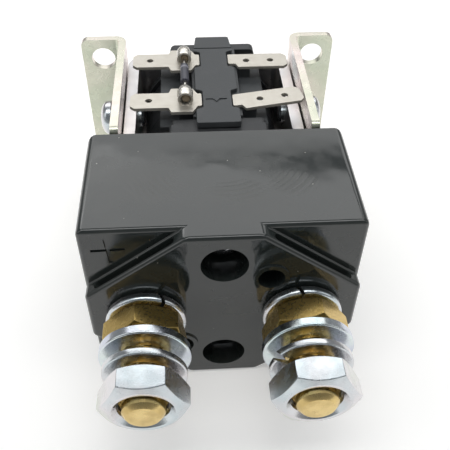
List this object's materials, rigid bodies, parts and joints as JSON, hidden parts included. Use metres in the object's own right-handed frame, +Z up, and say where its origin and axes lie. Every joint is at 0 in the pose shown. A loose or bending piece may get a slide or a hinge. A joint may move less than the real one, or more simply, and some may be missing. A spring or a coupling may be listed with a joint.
{
  "type": "golf cart solenoid",
  "caption": "Power contactor: a coil in a steel U frame closes heavy stud contacts under a moulded cover, with tab terminals, a diode and angle brackets.",
  "frame": {"origin": "under the middle of the whole length and width, on the surface that the contactor lies on", "axes": "+Y from the stud ends towards the mounting plane, along the plunger's travel; +X to the right seen from the studs; +Z up, towards the tab terminals"},
  "size_m": [0.0708, 0.104, 0.0511],
  "materials": {
    "cover_moulding": "glossy black thermoset moulding",
    "bobbin_moulding": "matte dark grey moulding",
    "winding_tape": "black insulating tape",
    "brass": "turned brass",
    "zinc": "bright zinc plate with a bluish tint",
    "passivated_zinc": "iridescent passivated zinc plate",
    "steel": "machined steel",
    "spring_steel": "bright spring wire",
    "copper": "bare copper",
    "contact_silver": "silver alloy",
    "tinned_brass": "matte tin plate on brass",
    "diode_body": "dark blue-grey resin"
  },
  "bodies": {
    "housing": {"contact_cover": "cover_moulding", "insulating_base": "cover_moulding", "cover_screw_top": "zinc", "cover_screw_bottom": "zinc", "stud_left": "brass", "stud_right": "brass", "seat_washer_left": "zinc", "seat_washer_right": "zinc", "brass_nut_left": "brass", "brass_nut_right": "brass", "flat_washer_left": "zinc", "flat_washer_right": "zinc", "spring_washer_left": "zinc", "spring_washer_right": "zinc", "steel_nut_left": "zinc", "steel_nut_right": "zinc", "fixed_tip_left": "contact_silver", "fixed_tip_right": "contact_silver", "return_spring": "spring_steel", "front_plate": "zinc", "yoke_frame": "zinc", "coil_bobbin": "bobbin_moulding", "coil_winding": "winding_tape", "guide_tube": "brass", "fixed_core": "steel", "terminal_block": "bobbin_moulding", "spade_front_left": "tinned_brass", "spade_front_right": "tinned_brass", "spade_rear_left": "tinned_brass", "spade_rear_right": "tinned_brass", "suppression_diode": "diode_body", "bracket_left": "passivated_zinc", "bracket_right": "passivated_zinc", "bracket_screw_left_upper": "zinc", "bracket_screw_left_lower": "zinc", "bracket_screw_right_upper": "zinc", "bracket_screw_right_lower": "zinc", "bracket_lock_washer_left_upper": "zinc", "bracket_lock_washer_left_lower": "zinc", "bracket_lock_washer_right_upper": "zinc", "bracket_lock_washer_right_lower": "zinc"},
    "plunger": {"plunger": "steel", "spindle": "steel", "retaining_clip": "spring_steel", "contact_spring": "spring_steel"},
    "bridge": {"contact_bridge": "copper", "moving_tip_left": "contact_silver", "moving_tip_right": "contact_silver"}
  },
  "joints": [
    {"name": "plunger_slide", "type": "slide", "parent": "housing", "child": "plunger", "axis": [0, -1, 0], "range_m": [0, 0.003], "stiffness_N_per_m": 200, "springref_m": -0.01, "deforming": ["return_spring"]},
    {"name": "bridge_slide", "type": "slide", "parent": "plunger", "child": "bridge", "axis": [0, 1, 0], "range_m": [0, 0.001], "stiffness_N_per_m": 500, "springref_m": -0.004, "deforming": ["contact_spring"]}
  ]
}
